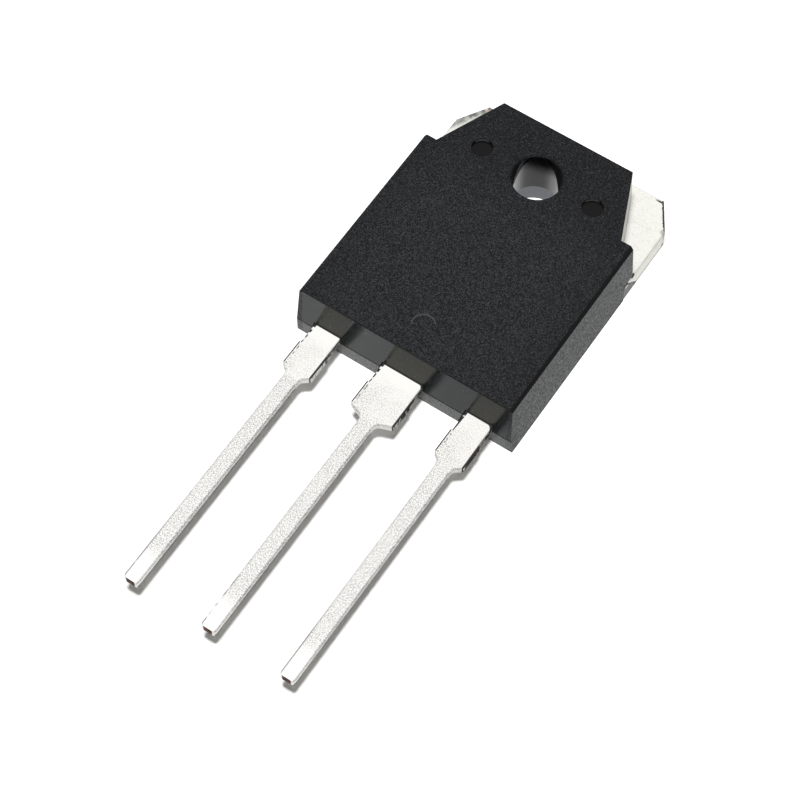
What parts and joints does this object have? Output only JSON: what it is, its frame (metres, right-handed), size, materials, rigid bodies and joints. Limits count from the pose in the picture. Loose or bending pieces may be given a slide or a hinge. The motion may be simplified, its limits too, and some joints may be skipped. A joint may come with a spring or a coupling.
{
  "type": "power transistor",
  "caption": "Power transistor: a flat moulded body on a bare metal mounting tab with a screw hole, and a row of flat leads from one end.",
  "frame": {"origin": "axis of the mounting hole on the flat back of the header", "axes": "+Z out of the front face along the hole's axis, -Y towards the lead tips, +X towards the emitter lead"},
  "size_m": [0.0156, 0.0399, 0.0048],
  "materials": {
    "moulding_compound": "matt and finely grained on the front, smoother on the walls",
    "tinned_copper": "matt tin plate over copper, with bare copper at the cut tips and tie-bar cuts",
    "solder": "dull grey solder",
    "silicon": "polished dark grey",
    "aluminium_wire": "bright drawn wire"
  },
  "bodies": {
    "root": {"moulded_body": "moulding_compound", "header_with_collector_lead": "tinned_copper", "base_lead": "tinned_copper", "emitter_lead": "tinned_copper", "die_solder": "solder", "silicon_die": "silicon", "base_bond_wire": "aluminium_wire", "emitter_bond_wire_1": "aluminium_wire", "emitter_bond_wire_2": "aluminium_wire"}
  },
  "joints": []
}
